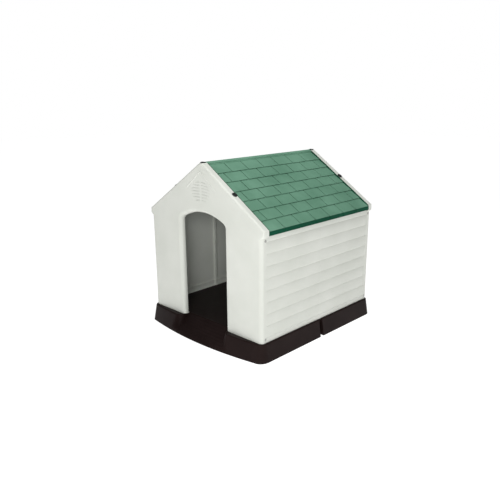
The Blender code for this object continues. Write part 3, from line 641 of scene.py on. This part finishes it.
def vent_louvres(name, end):
    """Bowed slots that climb inwards, so each one shows the blade below it."""
    bm = bmesh.new()
    outer, inner = -WALL_HALF_DEPTH - VENT_REACH, -WALL_HALF_DEPTH + SHEET + VENT_REACH
    outer_rise, inner_rise = (VENT_CLIMB * (y + WALL_HALF_DEPTH) for y in (outer, inner))
    for row in range(VENT_ROWS):
        offset = (row - (VENT_ROWS - 1) / 2) * VENT_PITCH
        reach = VENT_HALF_WIDTH * math.sqrt(1 - (offset / VENT_HALF_HEIGHT) ** 2)
        for side in (-1, 1):
            rings = []
            for i in range(7):
                share = i / 6
                x = side * (VENT_BAR_HALF + (reach - VENT_BAR_HALF) * share)
                z = VENT_CENTRE_Z + offset - VENT_DROOP * share ** 2
                half = VENT_SLOT_HALF * (1 - VENT_TAPER * share ** 3)
                rings.append([(x, -end * outer, z - half + outer_rise),
                              (x, -end * outer, z + half + outer_rise),
                              (x, -end * inner, z + half + inner_rise),
                              (x, -end * inner, z - half + inner_rise)])
            loft(rings, bm)
    return new_object(name, bm, WALL)


def pediment(name, end):
    """Raised moulding in the gable over the vent."""
    curve = bpy.data.curves.new(name, "CURVE")
    curve.dimensions = "3D"
    curve.bevel_depth = PEDIMENT_RADIUS
    curve.bevel_resolution = 4
    curve.use_fill_caps = True
    y = end * (WALL_HALF_DEPTH - PEDIMENT_SET) + WALL_Y
    foot_x, foot_z = PEDIMENT_FOOT
    points = [(-foot_x, foot_z), (-0.004, PEDIMENT_APEX_Z - 0.004), (0.0, PEDIMENT_APEX_Z - 0.0020),
              (0.004, PEDIMENT_APEX_Z - 0.004), (foot_x, foot_z)]
    spline = curve.splines.new("POLY")
    spline.points.add(len(points) - 1)
    for point, (x, z) in zip(spline.points, points):
        point.co = (x, y, z, 1.0)
    curve.materials.append(WALL)
    obj = bpy.data.objects.new(name, curve)
    bpy.context.scene.collection.objects.link(obj)
    settle(obj, None)


def build_gable(end_name, end):
    face = end * WALL_HALF_DEPTH
    panel = gable_pan(f"{end_name}_gable_shell", 0.0, face, end * RAKE_EDGE_Y,
                      CORNER_RADIUS, RAKE_RADIUS)
    hollow = gable_pan("hollow", SHEET, face - end * SHEET, end * (RAKE_EDGE_Y - 0.05),
                       CORNER_RADIUS - SHEET, RAKE_RADIUS - SHEET)
    trim = new_object("trim", box_mesh((-0.5, 0.0, 0.0), (0.5, end * RETURN_EDGE_Y,
                                                          EAR_BOTTOM_Z - EAR_STEP + 0.0035)), WALL)
    cut(panel, hollow, trim)
    if end < 0:
        lining = door_solid("lining", SHEET, -WALL_HALF_DEPTH + DOOR_REVEAL)
        cut(lining, new_object("floor_trim", box_mesh((-0.3, -0.6, 0.0),
                                                      (0.3, 0.0, DECK_Z + GAP)), WALL))
        join(panel, lining)
        cut(panel, door_solid("doorway", 0.0, -WALL_HALF_DEPTH + DOOR_REVEAL + 0.03))
    cut(panel, vent_louvres("louvres", end))
    finish_shell(panel)
    settle(panel, f"{end_name}_gable_panel")
    pediment(f"{end_name}_gable_moulding", end)


# ---- base ---------------------------------------------------------------------------------------
def base_ring(z, half_width, half_depth, bow, corner):
    """Plan outline of the base at height z, front edge bowed by a parabola."""
    inner = half_width - corner
    drop = bow * (1 - (inner / half_width) ** 2)

    def front_corner(centre_x, start):
        """Corner drawn out to meet the bowed edge."""
        turns = [math.radians(turn) for turn in range(start, start + 82, 9)]
        return [(centre_x + corner * math.cos(a),
                 corner - half_depth + corner * math.sin(a) + drop * math.sin(a)) for a in turns]

    points = []
    for i in range(33):
        x = -inner + 2 * inner * i / 32
        points.append((x, -half_depth - bow * (1 - (x / half_width) ** 2)))
    points += front_corner(inner, -81)
    points += arc((inner, half_depth - corner), corner, 0, 90, 10)
    points += arc((-inner, half_depth - corner), corner, 90, 180, 10)
    points += front_corner(-inner, 180)
    return [(x, y, z) for x, y in points]


def base_body(name, inset, bottom_z, top_z):
    """Block that narrows from the ground to the deck, with a rounded upper edge."""
    def ring(z, extra=0.0):
        t = max(0.0, min(1.0, z / DECK_Z))
        inward = inset + extra
        width = BASE_BOTTOM_HALF_WIDTH + (BASE_TOP_HALF_WIDTH - BASE_BOTTOM_HALF_WIDTH) * t
        depth = BASE_BOTTOM_HALF_DEPTH + (BASE_TOP_HALF_DEPTH - BASE_BOTTOM_HALF_DEPTH) * t
        corner = BASE_CORNER_BOTTOM + (BASE_CORNER_TOP - BASE_CORNER_BOTTOM) * t
        bow = BASE_BOW + (BASE_TOP_BOW - BASE_BOW) * t
        return base_ring(z, width - inward, depth - inward, bow, corner - inward)

    rings = [ring(bottom_z)]
    if inset == 0:
        rings = [ring(0.0, 0.0012), ring(0.0012)]
    for i in range(7):
        turn = math.radians(15 * i)
        rings.append(ring(top_z - BASE_LIP * (1 - math.sin(turn)),
                          BASE_LIP * (1 - math.cos(turn)) * 0.8))
    return new_object(name, loft(rings), BASE)


def porch_profile(lower_by):
    """Side view of the scooped step as (y, z): round-topped ribs on a ramp, with air above."""
    run_y, run_z = PORCH_LIP_Y - PORCH_BACK_Y, PORCH_LIP_Z - DECK_Z
    length = math.hypot(run_y, run_z)
    normal_y, normal_z = run_z / length, -run_y / length
    points = [(PORCH_BACK_Y + lower_by, DECK_Z + 0.05), (PORCH_BACK_Y + lower_by, DECK_Z)]
    if lower_by == 0:
        for i in range(PORCH_RIBS):
            for part, depth in PORCH_RIB_SHAPE:
                t = (i + part) / PORCH_RIBS
                points.append((PORCH_BACK_Y + run_y * t + normal_y * depth,
                               DECK_Z + run_z * t - normal_z * depth))
    points.append((PORCH_LIP_Y, PORCH_LIP_Z - lower_by))
    points += [(PORCH_LIP_Y - 0.08, PORCH_LIP_Z - lower_by), (PORCH_LIP_Y - 0.08, DECK_Z + 0.05)]
    return points


def porch_plan(z, grow):
    """Plan of the air over the step at height z, with noses that lean like the front skirt."""
    centre_x = PORCH_HALF_WIDTH + PORCH_NOSE
    low_y = BASE_BOTTOM_HALF_DEPTH + BASE_BOW * (1 - (centre_x / BASE_BOTTOM_HALF_WIDTH) ** 2)
    top_y = BASE_TOP_HALF_DEPTH + BASE_TOP_BOW * (1 - (centre_x / BASE_TOP_HALF_WIDTH) ** 2)
    centre_y = PORCH_NOSE - low_y - (top_y - low_y) * z / DECK_Z
    turns = [math.radians(turn) for turn in range(0, 91, 6)]
    right = [(PORCH_HALF_WIDTH + grow, centre_y + PORCH_PLAN_BACK)]
    right += [(centre_x - (PORCH_NOSE - grow) * math.cos(turn),
               centre_y - (PORCH_NOSE - grow) * math.sin(turn)) for turn in turns]
    right.append((centre_x, centre_y - PORCH_PLAN_FRONT))
    return [(x, y, z) for x, y in right + [(-x, y) for x, y in reversed(right)]]


def porch_air(name, lower_by):
    """Air over the step, widened by a quarter round at the deck, so the shoulders end softly."""
    air = new_object(name, prism_mesh(porch_profile(lower_by), "X", -0.30, 0.30), BASE)
    rings = [porch_plan(-0.02, lower_by)]
    for turn in (math.radians(15 * i) for i in range(7)):
        rings.append(porch_plan(DECK_Z - PORCH_EDGE * (1 - math.sin(turn)),
                                lower_by + PORCH_EDGE * (1 - math.cos(turn))))
    rings.append(porch_plan(DECK_Z + 0.08, lower_by + PORCH_EDGE))
    combine(air, new_object("plan", loft(rings), BASE), "INTERSECT")
    return air


def groove_air(name, grow):
    """Air of the upright grooves where the two base halves meet, one on each long side."""
    bm = bmesh.new()
    for side in (-1, 1):
        inner = side * (BASE_TOP_HALF_WIDTH - JOINT_GROOVE_DEPTH - grow)
        half = JOINT_GROOVE_HALF + grow
        ledge = side * (BASE_TOP_HALF_WIDTH - JOINT_GROOVE_LEDGE)
        top = JOINT_GROOVE_TOP + grow
        outline = [(inner, -0.02), (inner, top), (ledge, top), (ledge, DECK_Z + 0.02),
                   (side * 0.48, DECK_Z + 0.02), (side * 0.48, -0.02)]
        prism_mesh(outline, "Y", -half, half, bm)
    return new_object(name, bm, BASE)


def build_base():
    for end_name, end in ENDS:
        half = base_body(f"base_shell_{end_name}", 0.0, 0.0, DECK_Z)
        hollow = base_body("hollow", BASE_WALL, -0.01, DECK_Z - BASE_WALL)
        cut(hollow, porch_air("allowance", BASE_WALL), groove_air("groove_allowance", BASE_WALL))
        cut(half, hollow)
        join(half, new_object("flange", box_mesh((-0.405, 0.0, DECK_Z - BASE_FLANGE_DEPTH),
                                                 (0.405, end * BASE_WALL, DECK_Z - 0.002)), BASE))
        cut(half, porch_air("step_air", 0.0), groove_air("grooves", 0.0))
        cut(half, new_object("other_half", box_mesh((-0.6, -end * 0.7, -0.05),
                                                    (0.6, end * GAP / 2, 0.2)), BASE))
        bevel(half, 0.0012, 3, 50.0)
        finish_shell(half, 50.0)
        settle(half, f"base_{end_name}")


# ---- locks, screws and clips --------------------------------------------------------------------
def turned_mesh(profile, steps=40):
    """Solid turned about Z from a profile of (radius, z), which starts and ends on the axis."""
    bm = bmesh.new()
    rings = []
    for radius, z in profile:
        if radius == 0.0:
            rings.append([bm.verts.new((0.0, 0.0, z))])
            continue
        angles = [2 * math.pi * i / steps for i in range(steps)]
        rings.append([bm.verts.new((radius * math.cos(a), radius * math.sin(a), z))
                      for a in angles])
    for upper, lower in zip(rings, rings[1:]):
        for i in range(steps):
            ring = [upper[i % len(upper)], upper[(i + 1) % len(upper)],
                    lower[(i + 1) % len(lower)], lower[i % len(lower)]]
            corners = [v for k, v in enumerate(ring) if v not in ring[:k]]
            if len(corners) > 2:
                bm.faces.new(corners)
    return bm


def placed(name, bm, matrix, material):
    """Object whose mesh is drawn at its own axis and then set in place."""
    bm.transform(matrix)
    return new_object(name, bm, material)


def build_lock(side_name, side, end_name, end):
    """Round head with a finger grip, on a stem with a cross bar."""
    bar_top = -(SHEET + TONGUE_SHEET + 3 * GAP)
    profile = [(0.0, 0.0032), (0.0088, 0.0032), (0.0102, 0.0030), (0.0115, 0.0038),
               (0.0130, 0.0037), (0.0140, 0.0031), (0.0145, 0.0022), (0.0145, 0.0006),
               (0.0141, 0.0), (0.0042, 0.0), (0.0042, bar_top - 0.002), (0.0, bar_top - 0.002)]
    if side:
        x, z = slope_point(side, LOCK_SLOPE, FLANGE_LIFT)
        y, node, turn = end * LOCK_Y, f"{end_name}_{side_name}_lock", math.radians(90)
    else:
        x, y, z = 0.0, end * RIDGE_LOCK_Y, LANDING_Z
        node, turn = f"{end_name}_ridge_lock", 0.0
    tilt = side * SLOPE
    lift = Vector((math.sin(tilt), 0.0, math.cos(tilt))) * GAP
    place = Matrix.Translation(Vector((x, y, z)) + lift) @ Matrix.Rotation(tilt, 4, "Y")
    head = placed(node + "_head", turned_mesh(profile), place, LOCK)
    bevel(head, 0.0002, 2, 40.0)
    settle(head, node, node + "_body")
    turned = place @ Matrix.Rotation(turn, 4, "Z")
    bar = box_mesh((-0.0095, -0.003, bar_top - 0.004), (0.0095, 0.003, bar_top))
    box_mesh((-0.0100, -0.0020, 0.0024), (0.0100, 0.0020, 0.0051), bar)
    grip = placed(node + "_grip", bar, turned, LOCK)
    bevel(grip, 0.0008, 3)
    settle(grip, node, node + "_body")


def build_screw(side_name, side, end_name, end, level, z):
    profile = [(0.0, 0.0011), (0.0014, 0.0011), (0.0016, 0.0022), (0.0036, 0.0021),
               (0.0060, 0.0015), (0.0072, 0.0005), (0.0072, 0.0), (0.0020, 0.0),
               (0.0020, -0.0100), (0.0, -0.0130)]
    place = Matrix.Translation((side * (WALL_HALF_WIDTH + GAP), end * SCREW_Y, z))
    place = place @ Matrix.Rotation(side * math.pi / 2, 4, "Y")
    node = f"{end_name}_{side_name}_{level}_screw"
    screw = placed(node + "_turned", turned_mesh(profile, 24), place, SCREW)
    settle(screw, node)


def clip_outline(half_grip):
    """U section as (depth, across), open towards the flanges that it holds."""
    out = half_grip + CLIP_SHEET
    return [(0.0, -out), (CLIP_LEG, -out), (CLIP_LEG, -half_grip), (CLIP_SHEET, -half_grip),
            (CLIP_SHEET, half_grip), (CLIP_LEG, half_grip), (CLIP_LEG, out), (0.0, out)]


def build_clips():
    for side_name, side in SIDES:
        start = BOARD_INNER - SEAM_FLANGE - CLIP_SHEET - GAP
        half_grip = GAP / 2 + SEAM_FLANGE_SET + SEAM_FLANGE_SHEET + GAP
        outline = [(side * (start + depth), across) for depth, across in clip_outline(half_grip)]
        clip = new_object(f"{side_name}_wall_clip_moulded",
                          prism_mesh(outline, "Z", *WALL_CLIP_Z), WALL)
        bevel(clip, 0.0006)
        settle(clip, f"{side_name}_wall_clip")
        start = DECK_Z - BASE_FLANGE_DEPTH - CLIP_SHEET - GAP
        outline = [(across, start + depth) for depth, across in clip_outline(BASE_WALL + GAP)]
        middle = side * BASE_CLIP_X
        block = prism_mesh(outline, "X", middle - BASE_CLIP_HALF, middle + BASE_CLIP_HALF)
        clip = new_object(f"{side_name}_base_clip_moulded", block, BASE)
        bevel(clip, 0.0006)
        settle(clip, f"{side_name}_base_clip")


# ---- studio -------------------------------------------------------------------------------------
def build_floor():
    bm = bmesh.new()
    bmesh.ops.create_grid(bm, x_segments=4, y_segments=4, size=FLOOR_SIZE)
    bmesh.ops.translate(bm, verts=bm.verts, vec=(0.0, -WALL_Y, -0.0005))
    material, tree, shader = shader_material("studio_floor", (0.45, 0.45, 0.45), 0.9, 0.1)
    mottled = noise(tree, object_coordinates(tree, (1, 1, 1)), 1.5)
    tree.links.new(ramp(tree, mottled, ((0.3, (0.44, 0.44, 0.44)), (0.7, (0.46, 0.46, 0.46)))),
                   shader.inputs["Base Color"])
    shader.inputs["Emission Color"].default_value = WHITE
    shader.inputs["Emission Strength"].default_value = FLOOR_EMISSION
    new_object("studio_floor", bm, material)


def area_light(name, location, target, size, power):
    light = bpy.data.lights.new(name, "AREA")
    light.shape = "DISK"
    light.size = size
    light.energy = power
    lamp = bpy.data.objects.new(name, light)
    lamp.location = location
    lamp.rotation_euler = (Vector(target) - Vector(location)).to_track_quat("-Z", "Y").to_euler()
    bpy.context.scene.collection.objects.link(lamp)


def build_light():
    """White room: an even dome, a white backdrop behind the floor, a soft key and a top light."""
    world = bpy.data.worlds.new("studio_air")
    world.use_nodes = True
    tree = world.node_tree
    dome = tree.nodes["Background"]
    dome.inputs["Color"].default_value = WHITE
    dome.inputs["Strength"].default_value = DOME_STRENGTH
    backdrop = tree.nodes.new("ShaderNodeBackground")
    backdrop.inputs["Color"].default_value = WHITE
    path = tree.nodes.new("ShaderNodeLightPath")
    mix = tree.nodes.new("ShaderNodeMixShader")
    tree.links.new(path.outputs["Is Camera Ray"], mix.inputs["Fac"])
    tree.links.new(dome.outputs["Background"], mix.inputs[1])
    tree.links.new(backdrop.outputs["Background"], mix.inputs[2])
    tree.links.new(mix.outputs["Shader"], tree.nodes["World Output"].inputs["Surface"])
    bpy.context.scene.world = world
    area_light("key", (1.6, -2.15, 1.25), (0.3, -0.3, 0.45), 0.9, KEY_POWER)
    area_light("overhead", (0.7, -0.2, 3.2), (0.1, 0.0, 0.8), 2.4, OVERHEAD_POWER)


def build_camera():
    camera_data = bpy.data.cameras.new("studio_camera")
    camera_data.lens = LENS
    camera_data.sensor_width = 36.0
    camera_data.shift_x, camera_data.shift_y = LENS_SHIFT
    camera = bpy.data.objects.new("studio_camera", camera_data)
    middle = Vector((0.0, WALL_Y, 0.0))
    camera.location = Vector(CAMERA_AT) + middle
    turn = (Vector(CAMERA_TARGET) + middle - camera.location).to_track_quat("-Z", "Y")
    roll = Matrix.Rotation(CAMERA_ROLL, 4, "Z").to_quaternion()
    camera.rotation_mode = "QUATERNION"
    camera.rotation_quaternion = turn @ roll
    bpy.context.scene.collection.objects.link(camera)
    bpy.context.scene.camera = camera


# ---- assembly -----------------------------------------------------------------------------------
def build_all():
    build_base()
    build_clips()
    for end_name, end in ENDS:
        build_gable(end_name, end)
        build_lock("ridge", 0, end_name, end)
        for side_name, side in SIDES:
            build_wall(side_name, side, end_name, end)
            build_roof(side_name, side, end_name, end)
            build_lock(side_name, side, end_name, end)
            for level, z in zip(("lower", "upper"), SCREW_ROWS_Z):
                build_screw(side_name, side, end_name, end, level, z)


build_all()
build_floor()
build_light()
build_camera()
bpy.context.scene.view_settings.view_transform = "Standard"
